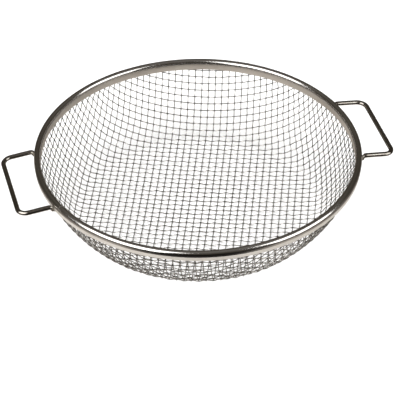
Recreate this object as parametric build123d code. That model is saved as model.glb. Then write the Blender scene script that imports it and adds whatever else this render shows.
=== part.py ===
from build123d import *
import math
import os

# Soil sieve: a dished bowl of plain-woven stainless wire in a rolled rim with two wire handles.
# Millimetres, +Z up. The handles lie along X. The origin is below the middle of the bowl, at the
# level of its lowest wire, so the sieve stands on Z = 0.

# ---------------------------------------------------------------- driving dimensions
RIM_DIAMETER = 300.0            # outside of the rolled bead
BEAD_RADIUS = 3.0               # section of the rolled bead
STRIP_THICKNESS = 0.5           # sheet that is rolled into the bead, its two skirts and the lip
CORE_CLEARANCE = 0.3            # between the stiffening wire in the bead and the rolled sheet
INNER_SKIRT_DROP = 7.0          # lower edge of the inner skirt, below the bead's centre
OUTER_SKIRT_DROP = 6.1          # lower edge of the outer skirt
OUTER_SKIRT_LEAN = 6.0          # degrees that the outer skirt leans in from the vertical
CLAMP_GAP = 2.0                 # between the inner skirt and the lip, where the cloth is clamped
SEAM_WIDTH = 0.4                # butt joint of the strip's two ends
SEAM_AZIMUTH = -160.0           # degrees from +X, beside the left handle's front foot

WIRE_RADIUS = 0.45              # wire of the cloth
PITCH = 6.567                   # from one crossing to the next, along a wire
CRIMP = 0.475                   # how far a wire swings to either side of the cloth's mid-surface
CLAMPED_DROP = 4.0              # where the wires end inside the rim, below the bead's centre
WARP_ANGLE = 70.0               # degrees from +X, the warp's direction at the middle of the floor
WEFT_ANGLE = -17.9              # degrees from +X, the weft's direction there
WEAVE_CENTRE = (-1.3, 3.35)     # the crossing nearest the axis
LAYOUT_MARGIN = 2 * PITCH       # the weave is laid out this far past the rim, to end the wires
FEWEST_CROSSINGS = 3            # a shorter wire than this would fall out of the edge
STRAIGHT_ON_DEGREES = 0.6       # a smaller turn than this is no corner
SLANT_ALLOWANCE = 1.25          # wires followed this many rim radii out, as they drift sideways

FLOOR_RADIUS = 103.9            # where the shallow floor turns into the corner
FLOOR_DISH_RADIUS = 1730.0      # section radius of the slightly dished floor
CORNER_RADIUS = 19.5            # section radius between the floor and the wall
WALL_RADIUS = 135.3             # section radius of the bulging wall
WALL_FOOT_SLOPE = 47.7          # degrees above level, where the corner ends
WALL_TOP_SLOPE = 69.6           # degrees above level, where the wall enters the rim

HANDLE_WIRE_RADIUS = 2.2
HANDLE_REACH = 174.5            # from the bowl's axis to the middle of the grip wire
HANDLE_SPREAD = 85.2            # between the middles of one handle's two legs
ROOT_DROP = 2.2                 # middle of a leg where it turns into its foot, below the bead's centre
GRIP_DROP = 5.4                 # middle of the grip, below the bead's centre: the legs slope down
HANDLE_CORNER_RADIUS = 8.5
FOOT_BEND_RADIUS = 2.8          # where a leg turns down on to the outer skirt
FOOT_LENGTH = 4.6               # from the leg's middle down to the foot's lower end
FOOT_STANDOFF = 1.5             # foot's middle off the skirt: the foot is pressed flat against it
CUT_MARGIN = 5.0                # the rim's filled shape reaches this far past bead and foot

WELD_RADIUS = 1.2
WELD_STRETCH = 1.4              # how much longer a weld is than it is wide
WELD_PLACE = 0.55               # of the foot's length, from the leg down to the weld's middle
GROUPS_PER_DIRECTION = 8        # nodes that the warp wires, and the weft wires, are shared into


# ---------------------------------------------------------------- bowl surface
class Arc:
    """One round stretch of the bowl's section, from one slope to a steeper one."""

    def __init__(self, radius, start_slope, end_slope, r, z):
        self.radius = radius
        self.r, self.z = r, z
        self.sine, self.cosine = math.sin(start_slope), math.cos(start_slope)
        self.end_r = r + radius * (math.sin(end_slope) - self.sine)
        self.end_z = z + radius * (self.cosine - math.cos(end_slope))

    def at(self, r):
        """Height and slope at distance r from the axis."""
        sine = (r - self.r) / self.radius + self.sine
        cosine = math.sqrt(1.0 - sine * sine)
        return self.z + self.radius * (self.cosine - cosine), sine / cosine


def bowl_section():
    """The cloth's mid-surface: floor, corner and wall, each tangent to the next."""
    slopes = [
        0.0,
        math.asin(FLOOR_RADIUS / FLOOR_DISH_RADIUS),
        math.radians(WALL_FOOT_SLOPE),
        math.radians(WALL_TOP_SLOPE),
    ]
    arcs = []
    r, z = 0.0, WIRE_RADIUS + CRIMP
    for radius, start, end in zip((FLOOR_DISH_RADIUS, CORNER_RADIUS, WALL_RADIUS), slopes, slopes[1:]):
        arcs.append(Arc(radius, start, end, r, z))
        r, z = arcs[-1].end_r, arcs[-1].end_z
    return arcs


SECTION = bowl_section()
WALL_TOP_RADIUS = SECTION[-1].end_r
WALL_TOP_HEIGHT = SECTION[-1].end_z
WALL_TOP_ANGLE = math.radians(WALL_TOP_SLOPE)
RIM_TANGENT = math.tan(WALL_TOP_ANGLE)

BEAD_CENTRE_RADIUS = RIM_DIAMETER / 2 - BEAD_RADIUS
# the straight top of the wall runs into the bottom of the bead
BEAD_HEIGHT = WALL_TOP_HEIGHT + (BEAD_CENTRE_RADIUS - WALL_TOP_RADIUS) * RIM_TANGENT + BEAD_RADIUS
# the wires of the cloth end at this distance from the axis, between the skirts
END_RADIUS = BEAD_CENTRE_RADIUS - (CLAMPED_DROP - BEAD_RADIUS) / RIM_TANGENT


def surface(x, y):
    """Height of the mid-surface at (x, y), and its gradient."""
    r = math.hypot(x, y)
    if r >= WALL_TOP_RADIUS:
        z, slope = WALL_TOP_HEIGHT + (r - WALL_TOP_RADIUS) * RIM_TANGENT, RIM_TANGENT
    else:
        z, slope = next(arc for arc in SECTION if r <= arc.end_r).at(r)
    if r < 1e-9:
        return z, 0.0, 0.0
    return z, slope * x / r, slope * y / r


def on_surface(x, y):
    return Vector(x, y, surface(x, y)[0])


def distance_out(point):
    """Distance of a point from the bowl's axis."""
    return math.hypot(point.X, point.Y)


def surface_normal(point):
    """Unit normal, pointing up into the bowl."""
    _, slope_x, slope_y = surface(point.X, point.Y)
    return Vector(-slope_x, -slope_y, 1.0).normalized()


# ---------------------------------------------------------------- layout of the weave
def one_pitch_along(start, angle):
    """The point one pitch from start, in the plan direction angle."""
    step = PITCH
    for _ in range(30):
        point = on_surface(start.X + step * math.cos(angle), start.Y + step * math.sin(angle))
        step *= PITCH / (point - start).length
    return point


def one_pitch_from_both(a, b, opposite):
    """The crossing that lies one pitch from a and from b, across the cell from opposite.

    The cloth is square when it is flat. Pressed into a bowl its wires keep their length between
    crossings, so the cells lean over into diamonds where the bowl curves both ways.
    """
    x, y = (a + b - opposite).X, (a + b - opposite).Y
    for _ in range(25):
        z, slope_x, slope_y = surface(x, y)
        rows = []
        for end in (a, b):
            dx, dy, dz = x - end.X, y - end.Y, z - end.Z
            miss = dx * dx + dy * dy + dz * dz - PITCH * PITCH
            rows.append((2 * (dx + dz * slope_x), 2 * (dy + dz * slope_y), miss))
        (p, q, m), (s, t, n) = rows
        area = p * t - q * s
        if abs(area) < 1e-9:
            return None
        move_x, move_y = (q * n - t * m) / area, (s * m - p * n) / area
        shorten = min(1.0, PITCH / 3 / max(math.hypot(move_x, move_y), 1e-12))
        x, y = x + shorten * move_x, y + shorten * move_y
    return on_surface(x, y) if abs(m) + abs(n) < 1e-6 else None


def weave_crossings():
    """Crossing points by (warp number, weft number), out to just past the rim."""
    outermost = RIM_DIAMETER / 2 + LAYOUT_MARGIN
    reach = math.ceil(SLANT_ALLOWANCE * outermost / PITCH)
    crossings = {(0, 0): on_surface(*WEAVE_CENTRE)}
    for sign in (1, -1):
        for k in range(1, reach + 1):
            for step, angle in (((sign, 0), WEFT_ANGLE), ((0, sign), WARP_ANGLE)):
                last = crossings[(step[0] * (k - 1), step[1] * (k - 1))]
                heading = math.radians(angle) + (math.pi if sign < 0 else 0.0)
                crossings[(step[0] * k, step[1] * k)] = one_pitch_along(last, heading)
    for side_i in (1, -1):
        for side_j in (1, -1):
            for i in range(1, reach + 1):
                for j in range(1, reach + 1):
                    a = crossings.get((side_i * i, side_j * (j - 1)))
                    b = crossings.get((side_i * (i - 1), side_j * j))
                    opposite = crossings.get((side_i * (i - 1), side_j * (j - 1)))
                    if not (a and b and opposite):
                        continue
                    found = one_pitch_from_both(a, b, opposite)
                    if found and distance_out(found) < outermost:
                        crossings[(side_i * i, side_j * j)] = found
    return crossings


def wire_end(inside, outside, side):
    """End of a wire in the rim, on its way from one crossing, on the given side, to the next."""
    low, high = 0.0, 1.0
    for _ in range(40):
        middle = (low + high) / 2
        if distance_out(inside + (outside - inside) * middle) < END_RADIUS:
            low = middle
        else:
            high = middle
    cut = inside + (outside - inside) * low
    point = on_surface(cut.X, cut.Y)
    return point + surface_normal(point) * side * (1 - 2 * low)


def wire_path(line, over_first):
    """Corners of one wire: over and under at the crossings, with its ends in the rim.

    line holds (number along the wire, crossing) in order. The crossings inside the rim make one
    run, and the crossing past each end of it gives the direction of the wire's end.
    """
    inside = [n for n, (_, point) in enumerate(line) if distance_out(point) < END_RADIUS]
    if len(inside) < FEWEST_CROSSINGS or inside[0] == 0 or inside[-1] == len(line) - 1:
        return None
    first, last = inside[0], inside[-1]
    sides = [CRIMP if (number % 2 == 0) == over_first else -CRIMP for number, _ in line]
    corners = [wire_end(line[first][1], line[first - 1][1], sides[first])]
    for (_, point), side in zip(line[first:last + 1], sides[first:last + 1]):
        corners.append(point + surface_normal(point) * side)
    corners.append(wire_end(line[last][1], line[last + 1][1], sides[last]))
    # an end shorter than the wire is thick would fold back on its own mitre
    if (corners[1] - corners[0]).length < 2 * WIRE_RADIUS:
        corners.pop(0)
    if (corners[-1] - corners[-2]).length < 2 * WIRE_RADIUS:
        corners.pop()
    return without_straight_corners(corners)


def without_straight_corners(corners):
    """Drop each corner where the wire runs nearly straight on, because a mitre can't be cut there."""
    kept = [corners[0]]
    for corner, following in zip(corners[1:], corners[2:]):
        if (corner - kept[-1]).get_angle(following - corner) > STRAIGHT_ON_DEGREES:
            kept.append(corner)
    return kept + [corners[-1]]


def round_wire(corners, radius):
    start = Plane(origin=corners[0], z_dir=corners[1] - corners[0])
    return sweep(start * Circle(radius), path=Polyline(*corners), transition=Transition.RIGHT)


def cloth_wires():
    """The warp wires and the weft wires, each as a list of solids in order across the cloth."""
    crossings = weave_crossings()
    families = []
    for across, along in ((0, 1), (1, 0)):
        wires = []
        for number in sorted({key[across] for key in crossings}):
            line = sorted((key[along], point) for key, point in crossings.items() if key[across] == number)
            # a warp wire is over where a weft wire is under, at each crossing
            over_first = (number % 2 == 0) == (across == 0)
            corners = wire_path(line, over_first)
            if corners:
                wires.append(round_wire(corners, WIRE_RADIUS))
        families.append(wires)
    return families


# ---------------------------------------------------------------- rim
def beside_cloth(offset, drop):
    """Point of the rim's section, from the bead's centre, at an offset outward from the cloth."""
    return Vector(offset / math.sin(WALL_TOP_ANGLE) - (drop - BEAD_RADIUS) / RIM_TANGENT, -drop)


def outer_face(drop, off_face=0.0):
    """Distance from the axis of the outer skirt's face, or of a point that far off the face."""
    lean = math.radians(OUTER_SKIRT_LEAN)
    return BEAD_CENTRE_RADIUS + (BEAD_RADIUS + off_face) / math.cos(lean) - drop * math.tan(lean)


def strip_section():
    """The strip's section: one sheet, folded into an inner skirt, a bead, an outer skirt and a lip."""
    middle = STRIP_THICKNESS / 2
    roll_radius = BEAD_RADIUS - middle
    skirt_offset = -(CLAMP_GAP / 2 + middle)
    skirt_foot = beside_cloth(skirt_offset, INNER_SKIRT_DROP)
    skirt_line = beside_cloth(skirt_offset, 0) - skirt_foot
    # the inner skirt runs up until it meets the roll
    across = skirt_foot.cross(skirt_line.normalized()).length
    run_up = -skirt_foot.dot(skirt_line.normalized()) - math.sqrt(roll_radius ** 2 - across ** 2)
    neck = skirt_foot + skirt_line.normalized() * run_up
    neck_angle = math.degrees(math.atan2(neck.Y, neck.X)) % 360
    roll = CenterArc((0, 0), roll_radius, -OUTER_SKIRT_LEAN, neck_angle + OUTER_SKIRT_LEAN)
    lip_drop = OUTER_SKIRT_DROP - middle
    hem = Vector(outer_face(lip_drop, -middle) - BEAD_CENTRE_RADIUS, -lip_drop)
    lip_end = beside_cloth(CLAMP_GAP / 2, lip_drop)
    runs = [Line(skirt_foot, neck), roll, Line(roll @ 0, hem), Line(hem, lip_end)]
    sheet = Sketch() + [trace(run, STRIP_THICKNESS) for run in runs]
    sheet += [Pos(bend.X, bend.Y) * Circle(middle) for bend in (neck, hem)]
    bead_centre = Vector(BEAD_CENTRE_RADIUS, 0, BEAD_HEIGHT)
    return Plane(origin=bead_centre, x_dir=(1, 0, 0), z_dir=(0, -1, 0)) * sheet


def seam_gap():
    """A thin box across the rim, where the strip's ends meet."""
    size = 2 * (INNER_SKIRT_DROP + BEAD_RADIUS)
    box = Pos(BEAD_CENTRE_RADIUS, 0, BEAD_HEIGHT) * Box(size, SEAM_WIDTH, size)
    return Rot(0, 0, SEAM_AZIMUTH) * box


def rim_strip_and_seam():
    ring = revolve(strip_section(), axis=Axis.Z)
    gap = seam_gap()
    return ring - gap, ring & gap


def core_wire():
    """The ring of stiffening wire that the strip is rolled round."""
    return Pos(0, 0, BEAD_HEIGHT) * Torus(BEAD_CENTRE_RADIUS, BEAD_RADIUS - STRIP_THICKNESS - CORE_CLEARANCE)


def filled_rim():
    """A solid cone that fills the rim out to the outer skirt's face, from over the bead to below a foot."""
    top_drop = -CUT_MARGIN
    bottom_drop = ROOT_DROP + FOOT_LENGTH + CUT_MARGIN
    cone = Cone(outer_face(bottom_drop), outer_face(top_drop), bottom_drop - top_drop)
    return Pos(0, 0, BEAD_HEIGHT - (top_drop + bottom_drop) / 2) * cone


# ---------------------------------------------------------------- handles
def foot_point(side_y, drop):
    """Middle of a foot of the right-hand handle, at the given drop below the bead's centre."""
    y = side_y * HANDLE_SPREAD / 2
    r = outer_face(drop, FOOT_STANDOFF)
    return Vector(math.sqrt(r * r - y * y), y, BEAD_HEIGHT - drop)


def right_handle():
    """One bent wire, whose two feet are pressed flat against the outer skirt."""
    corners = [
        foot_point(1, ROOT_DROP + FOOT_LENGTH),
        foot_point(1, ROOT_DROP),
        Vector(HANDLE_REACH, HANDLE_SPREAD / 2, BEAD_HEIGHT - GRIP_DROP),
        Vector(HANDLE_REACH, -HANDLE_SPREAD / 2, BEAD_HEIGHT - GRIP_DROP),
        foot_point(-1, ROOT_DROP),
        foot_point(-1, ROOT_DROP + FOOT_LENGTH),
    ]
    radii = (FOOT_BEND_RADIUS, HANDLE_CORNER_RADIUS, HANDLE_CORNER_RADIUS, FOOT_BEND_RADIUS)
    path = FilletPolyline(*corners, radius=radii)
    start = Plane(origin=path @ 0, z_dir=path % 0)
    return sweep(start * Circle(HANDLE_WIRE_RADIUS), path=path) - filled_rim()


def right_handle_welds(handle):
    """A small weld along each side of each foot, in the corner between it and the skirt."""
    welds = []
    for side_y in (1, -1):
        middle = foot_point(side_y, ROOT_DROP + FOOT_LENGTH * WELD_PLACE)
        outward = Vector(middle.X, middle.Y, 0).normalized()
        sideways = Vector(-outward.Y, outward.X, 0)
        for side in (1, -1):
            place = middle - outward * FOOT_STANDOFF + sideways * side * HANDLE_WIRE_RADIUS
            bead = Pos(*place) * scale(Sphere(WELD_RADIUS), by=(1, 1, WELD_STRETCH))
            welds.append(bead - filled_rim() - handle)
    return welds


# ---------------------------------------------------------------- files
def write(name, solids):
    """One STEP file for the node, with each piece as a separate solid."""
    flat = [solid for item in solids for solid in item.solids()]
    shape = flat[0] if len(flat) == 1 else Compound(children=flat)
    shape.label = name
    export_step(shape, f"parts/{name}.step")


def shared_out(items, count):
    """The items in order, in count groups of as nearly equal size as can be."""
    edges = [round(n * len(items) / count) for n in range(count + 1)]
    return [items[start:end] for start, end in zip(edges, edges[1:])]


def main():
    os.makedirs("parts", exist_ok=True)
    strip, seam = rim_strip_and_seam()
    write("rim_strip", [strip])
    write("rim_seam_weld", [seam])
    write("rim_core_wire", [core_wire()])
    handle = right_handle()
    welds = right_handle_welds(handle)
    for side, turn in (("right", 0), ("left", 180)):
        write(f"{side}_handle", [Rot(0, 0, turn) * handle])
        write(f"{side}_handle_welds", [Rot(0, 0, turn) * weld for weld in welds])
    for family, wires in zip(("warp", "weft"), cloth_wires()):
        print(family, "wires:", len(wires))
        for number, group in enumerate(shared_out(wires, GROUPS_PER_DIRECTION), start=1):
            write(f"{family}_wires_{number}", group)
    print("rim height", round(BEAD_HEIGHT + BEAD_RADIUS, 2))


main()
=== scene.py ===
"""Soil sieve: a bowl of plain-woven stainless wire in a rolled rim, with two welded wire handles.

Metres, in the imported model's frame: the handles lie along X and the sieve stands on Z = 0.
"""
import math
import random

import bpy
import numpy as np
from mathutils import Matrix, Vector, noise


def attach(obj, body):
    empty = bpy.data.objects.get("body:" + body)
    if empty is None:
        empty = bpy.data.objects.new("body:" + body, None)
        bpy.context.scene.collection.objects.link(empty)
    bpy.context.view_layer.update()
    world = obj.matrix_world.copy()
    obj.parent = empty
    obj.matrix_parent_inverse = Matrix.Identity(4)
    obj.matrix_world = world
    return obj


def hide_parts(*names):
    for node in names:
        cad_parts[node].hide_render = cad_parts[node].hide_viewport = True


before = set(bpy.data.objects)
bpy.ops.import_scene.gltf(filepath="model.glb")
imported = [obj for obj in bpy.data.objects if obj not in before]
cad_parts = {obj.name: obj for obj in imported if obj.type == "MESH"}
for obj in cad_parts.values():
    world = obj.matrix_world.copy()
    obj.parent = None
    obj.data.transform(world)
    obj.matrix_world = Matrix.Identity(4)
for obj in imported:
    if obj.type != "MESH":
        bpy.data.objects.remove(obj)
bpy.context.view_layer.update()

MM = 0.001

# ---------------------------------------------------------------- the sieve's dimensions
RIM_RADIUS = 150.0 * MM         # outside of the rolled bead
BEAD_RADIUS = 3.0 * MM
STRIP_THICKNESS = 0.5 * MM
INNER_SKIRT_DROP = 7.0 * MM     # lower edge of the inner skirt, below the bead's centre
OUTER_SKIRT_DROP = 6.1 * MM     # lower edge of the outer skirt
OUTER_SKIRT_LEAN = math.radians(6.0)
CLAMP_GAP = 2.0 * MM            # between the inner skirt and the lip, round the cloth
SEAM_WIDTH = 0.4 * MM
SEAM_AZIMUTH = math.radians(-160.0)

WIRE_RADIUS = 0.45 * MM
PITCH = 6.567 * MM              # from one crossing to the next, along a wire
CRIMP = 0.475 * MM              # swing of a wire to either side of the cloth's mid-surface
CLAMPED_DROP = 4.0 * MM         # where the wires end between skirt and lip, below the bead's centre
WARP_ANGLE = math.radians(70.0)
WEFT_ANGLE = math.radians(-17.9)
WEAVE_CENTRE = (-1.3 * MM, 3.35 * MM)
FEWEST_CROSSINGS = 3            # a shorter wire than this would fall out of the edge
LAYOUT_MARGIN = 2 * PITCH       # the weave is laid out this far past the rim, to end the wires
LAYOUT_REACH = 1.4              # the first wire each way is followed out this many rim radii

FLOOR_RADIUS = 103.9 * MM       # from the axis to where the floor starts to turn up
FLOOR_DISH_RADIUS = 1730.0 * MM
CORNER_RADIUS = 19.5 * MM       # of the section's turn from floor to wall
WALL_RADIUS = 135.3 * MM        # of the wall's own gentle curve
WALL_FOOT_SLOPE = math.radians(47.7)
WALL_TOP_SLOPE = math.radians(69.6)

HANDLE_WIRE_RADIUS = 2.2 * MM
HANDLE_REACH = 174.5 * MM       # middle of the grip, from the axis
HANDLE_SPREAD = 85.2 * MM       # from leg to leg
ROOT_DROP = 2.2 * MM            # where a leg turns into its foot, below the bead's centre
GRIP_DROP = 5.4 * MM            # middle of the grip, below the bead's centre
HANDLE_CORNER_RADIUS = 8.5 * MM
FOOT_BEND_RADIUS = 2.8 * MM
FOOT_LENGTH = 4.6 * MM
FOOT_STANDOFF = 1.5 * MM        # foot's middle off the skirt
FOOT_HALF_WIDTH = 2.6 * MM      # the foot is the same wire, pressed wide and thin
FOOT_FLAT_RUN = 0.6 * FOOT_LENGTH       # the end that is fully pressed, then the run where it fades
FOOT_TIP_RUN = 1.4 * MM         # the wire's cut end is rounded over this length
FOOT_TIP_SIZE = 0.45            # of the full section, at the very end

WELD_PLACE = 0.55               # of the foot's length, from the leg down to the weld's middle
WELD_SINK = 0.9                 # of the way from the foot's middle to the skirt, and to its side
WELD_HALF_SIZES = (1.0 * MM, 1.0 * MM, 1.6 * MM)
WELD_UNEVENNESS = 0.14
WELD_WAVES = 2.2                # waves in half a weld's width

RIM_WAVE_OUT = 0.10 * MM        # how far the hand-guided rolling strays from a true circle
RIM_WAVE_UP = 0.07 * MM
RIM_WAVES_OUT, RIM_WAVES_UP = 2.3, 3.1  # waves in one radius of the rim
RIM_WAVE_SHIFT = Vector((7, 3, 1))      # sets the upward waves apart from the outward ones
SEAM_SWELL = 0.02               # how far the seam's weld stands proud, as a share of the section

GROUPS_PER_DIRECTION = 8        # pieces that the warp wires, and the weft wires, are shared into

# ---------------------------------------------------------------- mesh fineness
STEPS_PER_PITCH = 6
WIRE_SIDES = 8
RIM_STEPS = 540
SEAM_STEPS = 6
BEAD_STEPS = 44
SKIRT_STEPS = 6
HANDLE_SIDES = 24
HANDLE_STEP = 0.8 * MM
FEWEST_BEND_STEPS = 6
FEWEST_WIRE_STEPS = 8
WELD_ROWS, WELD_COLUMNS = 10, 16
SHARP_ANGLE = math.radians(50.0)
SOLVER_ROUNDS = 30              # enough for a length along one wire to settle
CROSSING_ROUNDS = 25            # and for a crossing
TINY = 1e-12                    # metres or square metres that count as none
LEAST_MITRE = 0.5               # keeps the strip's outline from running out at a sharp fold

# ---------------------------------------------------------------- finish
BRIGHT_SKIRT_STEPS = 2          # of the outer skirt's steps, those that are bright like the bead
WALL_SHADE_START = 6 * MM          # painted shade on the cloth's wire starts at this height
WALL_SHADE_FULL = 20 * MM           # and is full from here up
WALL_SHADE_SHARE = 0.8                # how far the painted shade colour replaces the wire's own
CROSSING_SHADE_SHARE = 0.85               # how far painted shade darkens the wire where two wires cross
CROSSING_SHADE_EDGES = (0.25, 0.85)       # nearness to the crossing where the painted shade starts, and is darkest
TONE_EDGES = (0.35, 0.68)       # the part of the clouds that runs from the dark tone to the light
SMUDGE_EDGES = (0.30, 0.70)     # the part of the clouds that runs from glossy to rough
FINE_EDGES = (0.40, 0.70)       # the same, of the fine grain and the lines
GRAIN_TO_CLOUD = 14             # cells of grain along one cloud
GRAIN_ROUGHNESS = 0.04
LINE_SCALES = (18.0, 1400.0, 1400.0)    # lines to a metre, along the work and across it
LINE_ROUGHNESS = 0.12
LINE_DEPTH = 0.02 * MM
FLOOR_TONES = ((0.93, 0.93, 0.93), (0.95, 0.95, 0.95))
FLOOR_ROUGHNESS = 0.7
FLOOR_CLOUD_SCALE = 3.0

# ---------------------------------------------------------------- camera and light
CAMERA_DISTANCE = 1.8315
CAMERA_ELEVATION = math.radians(36.52)
CAMERA_AZIMUTH = math.radians(-14.5)    # the camera's right, from the handles' axis
CAMERA_ROLL = math.radians(-0.42)
CAMERA_PAN = math.radians(-0.049)       # turned away from the rim's centre, to the right
CAMERA_TILT = math.radians(-1.384)      # and down, to frame the whole sieve
CAMERA_LENS = 180.0
CAMERA_SENSOR = 36.0
ROOM = (                                # height of the direction, from 0 below to 1 above; colour
    (0.07, (0.92, 0.85, 0.77)),
    (0.17, (0.17, 0.15, 0.135)),
    (0.48, (0.050, 0.042, 0.034)),
    (0.78, (0.062, 0.054, 0.044)),
    (1.00, (0.15, 0.14, 0.13)),
)
DARK_FRONT = (-90, -36)                 # azimuth and elevation of the dark spot before the sieve
DARK_FRONT_EDGES = (0.58, 0.92)         # cosines of the angles where it starts, and is darkest
DARK_FRONT_LEFT = 0.05                  # of the room's light, in the middle of the spot
SOFT_BOXES = (                          # name, azimuth, elevation, distance, width, height, watts
    ("left_box", -140, 31, 1.6, 1.7, 1.7, 26),
    ("right_box", -22, 24, 1.6, 1.3, 1.4, 14),
    ("floor_fill", 90, 85, 2.0, 2.4, 2.4, 60),
)
FLOOR_HALF_SIZE = 8.0


# ---------------------------------------------------------------- bowl surface
class Arc:
    """One round stretch of the bowl's section, from one slope to a steeper one."""

    def __init__(self, radius, start_slope, end_slope, r, z):
        self.radius = radius
        self.r, self.z = r, z
        self.sine, self.cosine = math.sin(start_slope), math.cos(start_slope)
        self.end_r = r + radius * (math.sin(end_slope) - self.sine)
        self.end_z = z + radius * (self.cosine - math.cos(end_slope))

    def at(self, r):
        """Height and slope at distance r from the axis."""
        sine = (r - self.r) / self.radius + self.sine
        cosine = math.sqrt(1.0 - sine * sine)
        return self.z + self.radius * (self.cosine - cosine), sine / cosine


def bowl_section():
    """The cloth's mid-surface: floor, corner and wall, each tangent to the next."""
    slopes = [0.0, math.asin(FLOOR_RADIUS / FLOOR_DISH_RADIUS), WALL_FOOT_SLOPE, WALL_TOP_SLOPE]
    arcs = []
    r, z = 0.0, WIRE_RADIUS + CRIMP
    radii = (FLOOR_DISH_RADIUS, CORNER_RADIUS, WALL_RADIUS)
    for radius, start, end in zip(radii, slopes, slopes[1:]):
        arcs.append(Arc(radius, start, end, r, z))
        r, z = arcs[-1].end_r, arcs[-1].end_z
    return arcs


SECTION = bowl_section()
WALL_TOP_RADIUS = SECTION[-1].end_r
WALL_TOP_HEIGHT = SECTION[-1].end_z
RIM_TANGENT = math.tan(WALL_TOP_SLOPE)
BEAD_CENTRE_RADIUS = RIM_RADIUS - BEAD_RADIUS
BEAD_HEIGHT = WALL_TOP_HEIGHT + (BEAD_CENTRE_RADIUS - WALL_TOP_RADIUS) * RIM_TANGENT + BEAD_RADIUS
END_RADIUS = BEAD_CENTRE_RADIUS - (CLAMPED_DROP - BEAD_RADIUS) / RIM_TANGENT


def surface(x, y):
    """Height of the mid-surface at (x, y), and its gradient."""
    r = math.hypot(x, y)
    if r >= WALL_TOP_RADIUS:
        z, slope = WALL_TOP_HEIGHT + (r - WALL_TOP_RADIUS) * RIM_TANGENT, RIM_TANGENT
    else:
        z, slope = next(arc for arc in SECTION if r <= arc.end_r).at(r)
    if r < TINY:
        return z, 0.0, 0.0
    return z, slope * x / r, slope * y / r


def on_surface(x, y):
    return Vector((x, y, surface(x, y)[0]))


def surface_normal(point):
    """Unit normal, pointing up into the bowl."""
    _, slope_x, slope_y = surface(point.x, point.y)
    return Vector((-slope_x, -slope_y, 1.0)).normalized()


# ---------------------------------------------------------------- layout of the weave
def one_pitch_along(start, angle):
    """The point one pitch from start, in the plan direction angle."""
    step = PITCH
    for _ in range(SOLVER_ROUNDS):
        point = on_surface(start.x + step * math.cos(angle), start.y + step * math.sin(angle))
        step *= PITCH / (point - start).length
    return point


def one_pitch_from_both(a, b, opposite):
    """The crossing that lies one pitch from a and from b, across the cell from opposite."""
    x, y = (a + b - opposite).x, (a + b - opposite).y
    for _ in range(CROSSING_ROUNDS):
        z, slope_x, slope_y = surface(x, y)
        rows = []
        for end in (a, b):
            dx, dy, dz = x - end.x, y - end.y, z - end.z
            miss = dx * dx + dy * dy + dz * dz - PITCH * PITCH
            rows.append((2 * (dx + dz * slope_x), 2 * (dy + dz * slope_y), miss))
        (p, q, m), (s, t, n) = rows
        area = p * t - q * s
        if abs(area) < TINY:
            return None
        move_x, move_y = (q * n - t * m) / area, (s * m - p * n) / area
        shorten = min(1.0, PITCH / 3 / max(math.hypot(move_x, move_y), TINY))
        x, y = x + shorten * move_x, y + shorten * move_y
    return on_surface(x, y) if abs(m) + abs(n) < TINY else None


def weave_crossings():
    """Crossing points by (warp number, weft number), out to just past the rim."""
    reach = int(LAYOUT_REACH * RIM_RADIUS / PITCH)
    crossings = {(0, 0): on_surface(*WEAVE_CENTRE)}
    for sign in (1, -1):
        for k in range(1, reach + 1):
            for step, angle in (((sign, 0), WEFT_ANGLE), ((0, sign), WARP_ANGLE)):
                last = crossings[(step[0] * (k - 1), step[1] * (k - 1))]
                heading = angle + (math.pi if sign < 0 else 0.0)
                crossings[(step[0] * k, step[1] * k)] = one_pitch_along(last, heading)
    limit = RIM_RADIUS + LAYOUT_MARGIN
    for side_i in (1, -1):
        for side_j in (1, -1):
            for i in range(1, reach + 1):
                for j in range(1, reach + 1):
                    a = crossings.get((side_i * i, side_j * (j - 1)))
                    b = crossings.get((side_i * (i - 1), side_j * j))
                    opposite = crossings.get((side_i * (i - 1), side_j * (j - 1)))
                    if not (a and b and opposite):
                        continue
                    found = one_pitch_from_both(a, b, opposite)
                    if found and math.hypot(found.x, found.y) < limit:
                        crossings[(side_i * i, side_j * j)] = found
    return crossings


def distance_out(point):
    return math.hypot(point.x, point.y)


def share_reached(inside, outside):
    """How far along the run from one crossing to the next the wire ends, inside the rim."""
    low, high = 0.0, 1.0
    for _ in range(SOLVER_ROUNDS):
        middle = (low + high) / 2
        if distance_out(inside.lerp(outside, middle)) < END_RADIUS:
            low = middle
        else:
            high = middle
    return low


def spline_point(p0, p1, p2, p3, u):
    """Catmull-Rom point between p1 and p2."""
    return 0.5 * (
        2 * p1 + (p2 - p0) * u + (2 * p0 - 5 * p1 + 4 * p2 - p3) * u * u
        + (3 * p1 - p0 - 3 * p2 + p3) * u ** 3
    )


def wire_centreline(line, over_first):
    """Centre points, surface normals and nearness to a crossing (0 to 1) along one crimped wire.

    line holds (number along the wire, crossing) in order, and reaches past the rim. A wire
    that would be too short gives None.
    """
    inside = [n for n, (_, point) in enumerate(line) if distance_out(point) < END_RADIUS]
    if len(inside) < FEWEST_CROSSINGS or inside[0] == 0 or inside[-1] == len(line) - 1:
        return None
    first, last = inside[0] - 1, inside[-1] + 1
    start = 1.0 - share_reached(line[first + 1][1], line[first][1])
    stop = (last - 1 - first) + share_reached(line[last - 1][1], line[last][1])
    points = [point for _, point in line[first:last + 1]]
    numbers = [number for number, _ in line[first:last + 1]]
    sides = [1.0 if (number % 2 == 0) == over_first else -1.0 for number in numbers]
    padded = [2 * points[0] - points[1]] + points + [2 * points[-1] - points[-2]]
    count = max(FEWEST_WIRE_STEPS, round((stop - start) * STEPS_PER_PITCH))
    centres, normals, knots = [], [], []
    for n in range(count + 1):
        along = start + (stop - start) * n / count
        k = min(int(along), len(points) - 2)
        u = along - k
        base = spline_point(*padded[k:k + 4], u)
        base = on_surface(base.x, base.y)
        normal = surface_normal(base)
        centres.append(base + normal * CRIMP * sides[k] * math.cos(math.pi * u))
        normals.append(normal)
        knots.append(math.cos(math.pi * u) ** 2)
    return centres, normals, knots


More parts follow.
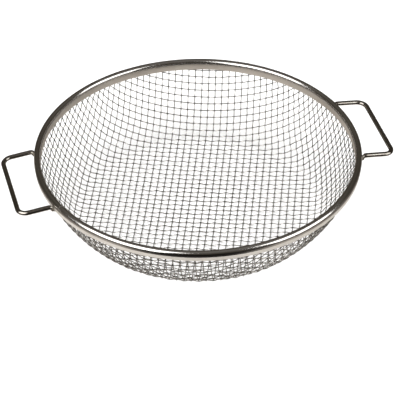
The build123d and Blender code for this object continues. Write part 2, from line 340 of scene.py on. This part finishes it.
def cloth_wires():
    """The warp wires and the weft wires, in order across the cloth."""
    crossings = weave_crossings()
    families = []
    for across, along in ((0, 1), (1, 0)):
        wires = []
        for number in sorted({key[across] for key in crossings}):
            on_wire = [key for key in crossings if key[across] == number]
            line = sorted((key[along], crossings[key]) for key in on_wire)
            over_first = (number % 2 == 0) == (across == 0)
            wire = wire_centreline(line, over_first)
            if wire:
                wires.append(wire)
        families.append(wires)
    return families


# ---------------------------------------------------------------- meshes
def mesh_object(name, vertices, faces, smooth=True):
    mesh = bpy.data.meshes.new(name)
    mesh.from_pydata([tuple(v) for v in vertices], [], faces)
    mesh.update()
    if smooth:
        mesh.shade_smooth()
    obj = bpy.data.objects.new(name, mesh)
    bpy.context.scene.collection.objects.link(obj)
    return obj


def tube(centres, normals, section):
    """Vertices and faces of a tube; section(n) gives the (across, outward) points of ring n."""
    centres = np.array(centres, float)
    tangents = np.gradient(centres, axis=0)
    tangents /= np.linalg.norm(tangents, axis=1)[:, None]
    across = np.cross(tangents, np.array(normals, float))
    across /= np.linalg.norm(across, axis=1)[:, None]
    outward = np.cross(across, tangents)
    vertices, faces = [], []
    sides = len(section(0))
    for n, centre in enumerate(centres):
        for a, b in section(n):
            vertices.append(centre + across[n] * a + outward[n] * b)
    for n in range(len(centres) - 1):
        for k in range(sides):
            here, after = n * sides + k, n * sides + (k + 1) % sides
            faces.append((here, after, after + sides, here + sides))
    faces.append(tuple(reversed(range(sides))))
    faces.append(tuple(range((len(centres) - 1) * sides, len(centres) * sides)))
    return vertices, faces


def round_section(radius, sides):
    ring = [2 * math.pi * k / sides for k in range(sides)]
    points = [(radius * math.cos(a), radius * math.sin(a)) for a in ring]
    return lambda n: points


def joined(parts):
    """One list of vertices and one of faces, from several."""
    vertices, faces = [], []
    for part_vertices, part_faces in parts:
        base = len(vertices)
        vertices.extend(part_vertices)
        faces.extend(tuple(base + index for index in face) for face in part_faces)
    return vertices, faces


def shared_out(items, count):
    """The items in order, in count groups of as nearly equal size as can be."""
    edges = [round(n * len(items) / count) for n in range(count + 1)]
    return [items[start:end] for start, end in zip(edges, edges[1:])]


# ---------------------------------------------------------------- materials
def map_range(tree, value, ends):
    node = tree.nodes.new("ShaderNodeMapRange")
    tree.links.new(value, node.inputs["Value"])
    for name, number in zip(("From Min", "From Max", "To Min", "To Max"), ends):
        node.inputs[name].default_value = number
    return node


class Nodes:
    """Short names for building one material's node tree."""

    def __init__(self, name):
        self.material = bpy.data.materials.new(name)
        self.material.use_nodes = True
        self.tree = self.material.node_tree
        self.shader = self.tree.nodes["Principled BSDF"]

    def add(self, kind, **inputs):
        node = self.tree.nodes.new(kind)
        for key, value in inputs.items():
            self.set(node, key.replace("_", " "), value)
        return node

    def set(self, node, socket, value):
        if isinstance(value, bpy.types.NodeSocket):
            self.tree.links.new(value, node.inputs[socket])
        else:
            node.inputs[socket].default_value = value

    def noise(self, vector, scale, detail=3.0, roughness=0.6):
        node = self.add("ShaderNodeTexNoise", Scale=scale, Detail=detail, Roughness=roughness)
        self.tree.links.new(vector, node.inputs["Vector"])
        return node.outputs["Fac"]

    def mapped(self, value, edges, to_low=0.0, to_high=1.0):
        return map_range(self.tree, value, (*edges, to_low, to_high)).outputs["Result"]

    def mixed(self, factor, colour_a, colour_b):
        node = self.tree.nodes.new("ShaderNodeMix")
        node.data_type = "RGBA"
        self.tree.links.new(factor, node.inputs["Factor"])
        for name, colour in (("A", colour_a), ("B", colour_b)):
            socket = [s for s in node.inputs if s.name == name and s.type == "RGBA"][0]
            if isinstance(colour, bpy.types.NodeSocket):
                self.tree.links.new(colour, socket)
            else:
                socket.default_value = (*colour, 1.0)
        return [s for s in node.outputs if s.type == "RGBA"][0]

    def math(self, operation, a, b=0.0):
        node = self.tree.nodes.new("ShaderNodeMath")
        node.operation = operation
        for index, value in enumerate((a, b)):
            if isinstance(value, bpy.types.NodeSocket):
                self.tree.links.new(value, node.inputs[index])
            else:
                node.inputs[index].default_value = value
        return node.outputs[0]

    def place(self):
        return self.tree.nodes.new("ShaderNodeTexCoord").outputs["Object"]

    def height(self, vector):
        split = self.add("ShaderNodeSeparateXYZ")
        self.tree.links.new(vector, split.inputs[0])
        return split.outputs["Z"]

    def round_the_axis(self):
        """Coordinates that run round the rim, out from the axis, and up."""
        split = self.add("ShaderNodeSeparateXYZ")
        self.tree.links.new(self.place(), split.inputs[0])
        x, y, z = split.outputs
        angle = self.math("ARCTAN2", y, x)
        squares = self.math("ADD", self.math("MULTIPLY", x, x), self.math("MULTIPLY", y, y))
        radius = self.math("SQRT", squares)
        joint = self.add("ShaderNodeCombineXYZ")
        for index, value in enumerate((self.math("MULTIPLY", angle, RIM_RADIUS), radius, z)):
            self.tree.links.new(value, joint.inputs[index])
        return joint.outputs[0]

    def stretched(self, vector, factors):
        node = self.add("ShaderNodeMapping", Scale=factors)
        self.tree.links.new(vector, node.inputs["Vector"])
        return node.outputs["Vector"]

    def bump(self, height, strength, distance):
        node = self.add("ShaderNodeBump", Strength=strength, Distance=distance)
        self.tree.links.new(height, node.inputs["Height"])
        self.tree.links.new(node.outputs["Normal"], self.shader.inputs["Normal"])


def steel(name, light, dark, roughness, scratch, cloud_scale=22.0, round_rim=False, metallic=1.0,
          wall_shade_colour=None, crossing_shade_colour=None):
    """Stainless steel with cloudy tone, smudged gloss and fine lines along the work.

    roughness is the range from glossy to smudged, scratch the strength of the lines, and
    cloud_scale the number of clouds to a metre. The wall colour is painted shade, darkening the
    wire above the floor of the bowl, and the crossing colour is painted shade where two wires cross.
    """
    nodes = Nodes(name)
    vector = nodes.round_the_axis() if round_rim else nodes.place()
    clouds = nodes.noise(vector, cloud_scale, detail=4.0)
    grain = nodes.noise(vector, cloud_scale * GRAIN_TO_CLOUD)
    lines = nodes.noise(nodes.stretched(vector, LINE_SCALES), 1.0)

    colour = nodes.mixed(nodes.mapped(clouds, TONE_EDGES), dark, light)
    # painted shade: the wire above the floor of the bowl is darkened towards the wall colour
    if wall_shade_colour:
        wall_shade_mask = nodes.mapped(nodes.height(vector), (WALL_SHADE_START, WALL_SHADE_FULL), 0.0, WALL_SHADE_SHARE)
        colour = nodes.mixed(wall_shade_mask, colour, wall_shade_colour)
    # painted shade: the wire is darkened towards each crossing, where two wires meet
    if crossing_shade_colour:
        knot = nodes.add("ShaderNodeAttribute")
        knot.attribute_name = "knot"
        crossing_shade_mask = nodes.mapped(knot.outputs["Fac"], CROSSING_SHADE_EDGES, 0.0, CROSSING_SHADE_SHARE)
        colour = nodes.mixed(crossing_shade_mask, colour, crossing_shade_colour)
    nodes.set(nodes.shader, "Base Color", colour)
    nodes.shader.inputs["Metallic"].default_value = metallic

    smudges = nodes.mapped(clouds, SMUDGE_EDGES, *roughness)
    gloss = nodes.math("ADD", smudges, nodes.mapped(grain, FINE_EDGES, 0.0, GRAIN_ROUGHNESS))
    worked = nodes.mapped(lines, FINE_EDGES, 0.0, scratch * LINE_ROUGHNESS)
    nodes.set(nodes.shader, "Roughness", nodes.math("ADD", gloss, worked))
    nodes.bump(lines, scratch, LINE_DEPTH)
    return nodes.material


def finish_materials():
    return {
        "bead": steel(
            "polished_rim_steel", (0.80, 0.78, 0.75), (0.68, 0.655, 0.625), (0.09, 0.17), 0.25,
            round_rim=True,
        ),
        "outer_skirt": steel(
            "satin_skirt_steel", (0.58, 0.54, 0.49), (0.51, 0.47, 0.42), (0.40, 0.50), 0.5,
            round_rim=True, metallic=0.2,
        ),
        # painted shade: the inner skirt is the same strip as the outer skirt, in a darker copy of its
        # finish
        "inner_skirt": steel(
            "shaded_skirt_steel", (0.36, 0.32, 0.275), (0.30, 0.265, 0.225), (0.40, 0.50), 0.5,
            round_rim=True, metallic=0.2,
        ),
        "wire": steel(
            "drawn_cloth_wire", (0.88, 0.86, 0.83), (0.68, 0.66, 0.63), (0.12, 0.20), 0.1, 60.0,
            # the wall colour and the crossing colour are painted shade
            metallic=0.8, wall_shade_colour=(0.46, 0.44, 0.41), crossing_shade_colour=(0.05, 0.045, 0.04),
        ),
        "handle": steel(
            "drawn_handle_wire", (0.52, 0.49, 0.45), (0.36, 0.33, 0.295), (0.10, 0.18), 0.3, 40.0
        ),
        "weld": steel(
            "weld_metal", (0.60, 0.54, 0.46), (0.36, 0.32, 0.29), (0.32, 0.50), 0.6, 320.0
        ),
    }


# ---------------------------------------------------------------- woven cloth
def make_cloth(materials):
    section = round_section(WIRE_RADIUS, WIRE_SIDES)
    for family, wires in zip(("warp", "weft"), cloth_wires()):
        for number, group in enumerate(shared_out(wires, GROUPS_PER_DIRECTION), start=1):
            parts = [tube(centres, normals, section) for centres, normals, _ in group]
            piece = mesh_object(f"{family}_woven_{number}", *joined(parts))
            knots = np.repeat(np.concatenate([knots for _, _, knots in group]), WIRE_SIDES)
            piece.data.attributes.new("knot", "FLOAT", "POINT").data.foreach_set("value", knots)
            piece.data.materials.append(materials["wire"])
            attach(piece, "root")
            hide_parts(f"{family}_wires_{number}")


# ---------------------------------------------------------------- rim
def beside_cloth(offset, drop):
    """Point (out, up) from the bead's centre, at an offset outward from the cloth."""
    return np.array((offset / math.sin(WALL_TOP_SLOPE) - (drop - BEAD_RADIUS) / RIM_TANGENT, -drop))


def outer_face(drop, off_face=0.0):
    """Distance from the axis of the outer skirt's face, or of a point that far off the face."""
    lean = OUTER_SKIRT_LEAN
    return BEAD_CENTRE_RADIUS + (BEAD_RADIUS + off_face) / math.cos(lean) - drop * math.tan(lean)


def evenly(start, end, steps):
    """Points from start up to, but not including, end."""
    return [start + (end - start) * n / steps for n in range(steps)]


def unit(step):
    return step / np.linalg.norm(step)


def strip_path():
    """Middle of the folded sheet in section, from the bead's centre.

    Gives its points, and the two numbers between which they are finished like the bead.
    """
    middle = STRIP_THICKNESS / 2
    roll_radius = BEAD_RADIUS - middle
    skirt_offset = -(CLAMP_GAP / 2 + middle)
    skirt_foot = beside_cloth(skirt_offset, INNER_SKIRT_DROP)
    up = unit(beside_cloth(skirt_offset, 0.0) - skirt_foot)
    across = abs(skirt_foot[0] * up[1] - skirt_foot[1] * up[0])
    neck = skirt_foot + up * (-np.dot(skirt_foot, up) - math.sqrt(roll_radius ** 2 - across ** 2))
    neck_angle = math.atan2(neck[1], neck[0]) % (2 * math.pi)
    lip_drop = OUTER_SKIRT_DROP - middle
    hem = np.array((outer_face(lip_drop, -middle) - BEAD_CENTRE_RADIUS, -lip_drop))
    points = evenly(skirt_foot, neck, SKIRT_STEPS)
    bead_from = len(points)
    for angle in evenly(neck_angle, -OUTER_SKIRT_LEAN, BEAD_STEPS):
        points.append(roll_radius * np.array((math.cos(angle), math.sin(angle))))
    roll_end = roll_radius * np.array((math.cos(OUTER_SKIRT_LEAN), -math.sin(OUTER_SKIRT_LEAN)))
    points += evenly(roll_end, hem, SKIRT_STEPS)
    bead_to = len(points) - SKIRT_STEPS + BRIGHT_SKIRT_STEPS
    points += evenly(hem, beside_cloth(CLAMP_GAP / 2, lip_drop), SKIRT_STEPS)
    points.append(beside_cloth(CLAMP_GAP / 2, lip_drop))
    return points, bead_from, bead_to


def rim_profile():
    """Closed outline of the strip as (r, z), and the finish of each of its edges."""
    path, bead_from, bead_to = strip_path()
    padded = [2 * path[0] - path[1]] + path + [2 * path[-1] - path[-2]]
    sides = []
    for before, here, after in zip(padded, path, padded[2:]):
        way_in, way_out = unit(here - before), unit(after - here)
        mean = unit(way_in + way_out)
        normal = np.array((-mean[1], mean[0]))
        sides.append(normal * STRIP_THICKNESS / 2 / max(LEAST_MITRE, np.dot(mean, way_in)))
    centre = np.array((BEAD_CENTRE_RADIUS, BEAD_HEIGHT))
    inner = [centre + point - side for point, side in zip(path, sides)]
    outer = [centre + point + side for point, side in zip(path, sides)]
    finishes = ["inner_skirt"] * bead_from + ["bead"] * (bead_to - bead_from)
    finishes += ["outer_skirt"] * (len(path) - 1 - bead_to)
    return inner + outer[::-1], finishes + ["outer_skirt"] + finishes[::-1] + ["inner_skirt"]


def rim_wave(azimuth):
    """How far the hand-guided rolling strays from a true circle, outward and upward."""
    at = Vector((math.cos(azimuth), math.sin(azimuth), 0.0))
    out = RIM_WAVE_OUT * noise.noise(at * RIM_WAVES_OUT)
    return out, RIM_WAVE_UP * noise.noise(at * RIM_WAVES_UP + RIM_WAVE_SHIFT)


def revolved(profile, start, stop, steps, swell=0.0):
    """The profile turned about Z, with its two ends capped."""
    centre = np.array((BEAD_CENTRE_RADIUS, BEAD_HEIGHT))
    vertices, faces = [], []
    count = len(profile)
    for n in range(steps + 1):
        azimuth = start + (stop - start) * n / steps
        grow = 1.0 + swell * math.sin(math.pi * n / steps)
        wave_out, wave_up = rim_wave(azimuth)
        for point in profile:
            r, z = centre + (np.array(point) - centre) * grow
            r, z = r + wave_out, z + wave_up
            vertices.append((r * math.cos(azimuth), r * math.sin(azimuth), z))
    for n in range(steps):
        for k in range(count):
            here, after = n * count + k, n * count + (k + 1) % count
            faces.append((here, here + count, after + count, after))
    faces.append(tuple(range(count)))
    faces.append(tuple(reversed(range(steps * count, (steps + 1) * count))))
    return vertices, faces


def make_rim(materials):
    profile, finishes = rim_profile()
    half_seam = SEAM_WIDTH / 2 / BEAD_CENTRE_RADIUS
    seam_start, seam_end = SEAM_AZIMUTH - half_seam, SEAM_AZIMUTH + half_seam
    vertices, faces = revolved(profile, seam_end, seam_start + 2 * math.pi, RIM_STEPS)
    rim = mesh_object("rolled_rim", vertices, faces)
    slots = ("bead", "outer_skirt", "inner_skirt")
    for slot in slots:
        rim.data.materials.append(materials[slot])
    count = len(profile)
    for face in rim.data.polygons[:RIM_STEPS * count]:
        face.material_index = slots.index(finishes[face.index % count])
    rim.data.set_sharp_from_angle(angle=SHARP_ANGLE)
    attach(rim, "root")
    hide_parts("rim_strip")

    vertices, faces = revolved(profile, seam_start, seam_end, SEAM_STEPS, SEAM_SWELL)
    seam = mesh_object("rim_seam", vertices, faces)
    seam.data.materials.append(materials["weld"])
    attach(seam, "root")
    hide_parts("rim_seam_weld")

    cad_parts["rim_core_wire"].material_slots[0].material = materials["wire"]


# ---------------------------------------------------------------- handles
def foot_point(side_y, drop):
    """Middle of a foot of the right-hand handle, at the given drop below the bead's centre."""
    y = side_y * HANDLE_SPREAD / 2
    r = outer_face(drop, FOOT_STANDOFF)
    return Vector((math.sqrt(r * r - y * y), y, BEAD_HEIGHT - drop))


def rounded_path(corners, radii, step):
    """Points along straight runs joined by arcs, about one step apart."""
    points = [corners[0]]

    def run_to(target):
        start = points[-1].copy()
        count = max(1, round((target - start).length / step))
        points.extend(start.lerp(target, n / count) for n in range(1, count + 1))

    for before, corner, after, radius in zip(corners, corners[1:], corners[2:], radii):
        back, ahead = (before - corner).normalized(), (after - corner).normalized()
        half = back.angle(ahead) / 2
        setback = radius / math.tan(half)
        centre = corner + (back + ahead).normalized() * (radius / math.sin(half))
        run_to(corner + back * setback)
        start = points[-1] - centre
        axis = start.cross(corner + ahead * setback - centre).normalized()
        turn = math.pi - 2 * half
        count = max(FEWEST_BEND_STEPS, round(radius * turn / step))
        for n in range(1, count + 1):
            points.append(centre + Matrix.Rotation(turn * n / count, 3, axis) @ start)
    run_to(corners[-1])
    return points


def carried_normals(points, first):
    """A normal at each point, carried along the path without twist."""
    normals = [first]
    for before, after in zip(points, points[2:] + [points[-1] * 2 - points[-2]]):
        tangent = (after - before).normalized()
        normal = normals[-1] - tangent * normals[-1].dot(tangent)
        normals.append(normal.normalized())
    return normals


def right_handle():
    """Mesh of one bent handle wire, its two feet pressed flat on the outer skirt."""
    corners = [
        foot_point(1, ROOT_DROP + FOOT_LENGTH),
        foot_point(1, ROOT_DROP),
        Vector((HANDLE_REACH, HANDLE_SPREAD / 2, BEAD_HEIGHT - GRIP_DROP)),
        Vector((HANDLE_REACH, -HANDLE_SPREAD / 2, BEAD_HEIGHT - GRIP_DROP)),
        foot_point(-1, ROOT_DROP),
        foot_point(-1, ROOT_DROP + FOOT_LENGTH),
    ]
    radii = (FOOT_BEND_RADIUS, HANDLE_CORNER_RADIUS, HANDLE_CORNER_RADIUS, FOOT_BEND_RADIUS)
    points = rounded_path(corners, radii, HANDLE_STEP)
    outward = Vector((points[0].x, points[0].y, 0.0)).normalized()
    normals = carried_normals(points, outward)
    lengths = [0.0]
    for a, b in zip(points, points[1:]):
        lengths.append(lengths[-1] + (b - a).length)

    def section(n):
        to_end = min(lengths[n], lengths[-1] - lengths[n])
        flat = 1.0 - min(1.0, max(0.0, (to_end - FOOT_FLAT_RUN) / FOOT_FLAT_RUN))
        flat = flat * flat * (3 - 2 * flat)
        tip = FOOT_TIP_SIZE + (1.0 - FOOT_TIP_SIZE) * math.sqrt(min(1.0, to_end / FOOT_TIP_RUN))
        wide = (HANDLE_WIRE_RADIUS + (FOOT_HALF_WIDTH - HANDLE_WIRE_RADIUS) * flat) * tip
        thick = (HANDLE_WIRE_RADIUS + (FOOT_STANDOFF - HANDLE_WIRE_RADIUS) * flat) * tip
        ring = [2 * math.pi * k / HANDLE_SIDES for k in range(HANDLE_SIDES)]
        return [(wide * math.cos(a), thick * math.sin(a)) for a in ring]

    return tube(points, normals, section)


def weld_blob(middle, seed):
    """A small uneven lump of weld metal."""
    rows, columns = WELD_ROWS, WELD_COLUMNS
    rng = random.Random(seed)
    shift = Vector((rng.uniform(0, 9), rng.uniform(0, 9), rng.uniform(0, 9)))
    vertices, faces = [], []
    for row in range(rows + 1):
        tilt = math.pi * row / rows
        for column in range(columns if 0 < row < rows else 1):
            turn = 2 * math.pi * column / columns
            reach = math.sin(tilt)
            way = Vector((reach * math.cos(turn), reach * math.sin(turn), math.cos(tilt)))
            swell = 1.0 + WELD_UNEVENNESS * noise.noise(way * WELD_WAVES + shift)
            vertices.append(middle + Vector(w * h for w, h in zip(way, WELD_HALF_SIZES)) * swell)

    def first(row):
        return 1 + (row - 1) * columns

    for column in range(columns):
        after = (column + 1) % columns
        faces.append((0, first(1) + column, first(1) + after))
        for row in range(1, rows - 1):
            here, below = first(row), first(row + 1)
            faces.append((here + column, below + column, below + after, here + after))
        last = first(rows)
        faces.append((first(rows - 1) + column, last, first(rows - 1) + after))
    return vertices, faces


def right_welds():
    """Mesh of the four welds of the right-hand handle, one on each side of each foot."""
    parts = []
    for side_y in (1, -1):
        middle = foot_point(side_y, ROOT_DROP + FOOT_LENGTH * WELD_PLACE)
        outward = Vector((middle.x, middle.y, 0)).normalized()
        sideways = Vector((-outward.y, outward.x, 0))
        for side in (1, -1):
            inward = outward * FOOT_STANDOFF * WELD_SINK
            place = middle - inward + sideways * side * FOOT_HALF_WIDTH * WELD_SINK
            parts.append(weld_blob(place, seed=10 * side_y + side))
    return joined(parts)


def make_handles(materials):
    for side, sign in (("right", 1), ("left", -1)):
        turn = Matrix.Rotation(0.0 if sign > 0 else math.pi, 4, "Z")
        for name, (vertices, faces), node, finish, slot in (
            (f"{side}_bent_handle", right_handle(), f"{side}_handle", "handle", "handle_steel"),
            (f"{side}_foot_welds", right_welds(), f"{side}_handle_welds", "weld", "weld_steel"),
        ):
            piece = mesh_object(name, [turn @ Vector(v) for v in vertices], faces)
            piece.data.materials.append(materials[finish])
            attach(piece, "root")
            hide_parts(node)


# ---------------------------------------------------------------- stage, lights, camera
def make_stage():
    size = FLOOR_HALF_SIZE
    corners = [(-size, -size, 0), (size, -size, 0), (size, size, 0), (-size, size, 0)]
    floor = mesh_object("floor", corners, [(0, 1, 2, 3)], smooth=False)
    nodes = Nodes("pale_floor")
    clouds = nodes.noise(nodes.place(), FLOOR_CLOUD_SCALE, roughness=0.55)
    tone = nodes.mapped(clouds, SMUDGE_EDGES)
    nodes.set(nodes.shader, "Base Color", nodes.mixed(tone, *FLOOR_TONES))
    nodes.shader.inputs["Roughness"].default_value = FLOOR_ROUGHNESS
    floor.data.materials.append(nodes.material)
    floor.visible_glossy = False    # the metal mirrors the dim studio, not the white sweep


def directed(azimuth, elevation):
    """Unit vector in the camera's terms: azimuth from its right, counter-clockwise from above."""
    a, e = math.radians(azimuth) + CAMERA_AZIMUTH, math.radians(elevation)
    return Vector((math.cos(a) * math.cos(e), math.sin(a) * math.cos(e), math.sin(e)))


def soft_box(name, azimuth, elevation, distance, width, height, power):
    light = bpy.data.lights.new(name, "AREA")
    light.shape = "RECTANGLE"
    light.size, light.size_y = width, height
    light.energy = power
    obj = bpy.data.objects.new(name, light)
    target = Vector((0, 0, BEAD_HEIGHT / 2))
    obj.location = target + directed(azimuth, elevation) * distance
    obj.rotation_euler = (target - obj.location).to_track_quat("-Z", "Y").to_euler()
    bpy.context.scene.collection.objects.link(obj)


def make_world():
    """The studio that the metal mirrors: dim walls, a grey ceiling, a pale table, a dark front."""
    world = bpy.data.worlds.new("studio")
    world.use_nodes = True
    tree = world.node_tree
    direction = tree.nodes.new("ShaderNodeTexCoord").outputs["Generated"]
    split = tree.nodes.new("ShaderNodeSeparateXYZ")
    tree.links.new(direction, split.inputs[0])
    height = map_range(tree, split.outputs["Z"], (-1.0, 1.0, 0.0, 1.0))
    room = tree.nodes.new("ShaderNodeValToRGB")
    tree.links.new(height.outputs["Result"], room.inputs["Fac"])
    ramp = room.color_ramp.elements
    ramp[0].position, ramp[0].color = ROOM[0][0], (*ROOM[0][1], 1.0)
    ramp[1].position, ramp[1].color = ROOM[-1][0], (*ROOM[-1][1], 1.0)
    for position, colour in ROOM[1:-1]:
        ramp.new(position).color = (*colour, 1.0)
    front = tree.nodes.new("ShaderNodeVectorMath")
    front.operation = "DOT_PRODUCT"
    tree.links.new(direction, front.inputs[0])
    front.inputs[1].default_value = directed(*DARK_FRONT)
    dark = map_range(tree, front.outputs["Value"], (*DARK_FRONT_EDGES, 1.0, DARK_FRONT_LEFT))
    dark.interpolation_type = "SMOOTHSTEP"
    background = tree.nodes["Background"]
    tree.links.new(room.outputs["Color"], background.inputs["Color"])
    tree.links.new(dark.outputs["Result"], background.inputs["Strength"])
    bpy.context.scene.world = world


def make_lights():
    make_world()
    for box in SOFT_BOXES:
        soft_box(*box)
    bpy.data.objects["floor_fill"].visible_glossy = False   # it lights the floor, unseen in the metal
    bpy.context.scene.view_settings.view_transform = "Standard"


def make_camera():
    """The camera stands where the rim's ellipse puts it, and is turned to frame the rim's centre."""
    data = bpy.data.cameras.new("camera")
    data.lens, data.sensor_width = CAMERA_LENS, CAMERA_SENSOR
    camera = bpy.data.objects.new("camera", data)
    right = Vector((math.cos(CAMERA_AZIMUTH), math.sin(CAMERA_AZIMUTH), 0.0))
    level = Vector((-right.y, right.x, 0.0))
    forward = level * math.cos(CAMERA_ELEVATION) - Vector((0, 0, math.sin(CAMERA_ELEVATION)))
    up = right.cross(forward)
    camera.location = Vector((0, 0, BEAD_HEIGHT)) - forward * CAMERA_DISTANCE
    basis = Matrix((right, up, -forward)).transposed()
    turned = basis @ Matrix.Rotation(CAMERA_PAN, 3, "Y") @ Matrix.Rotation(CAMERA_TILT, 3, "X")
    camera.rotation_euler = (turned @ Matrix.Rotation(CAMERA_ROLL, 3, "Z")).to_euler()
    bpy.context.scene.collection.objects.link(camera)
    bpy.context.scene.camera = camera


# ---------------------------------------------------------------- the scene
materials = finish_materials()
make_camera()
make_lights()
make_stage()
make_cloth(materials)
make_rim(materials)
make_handles(materials)
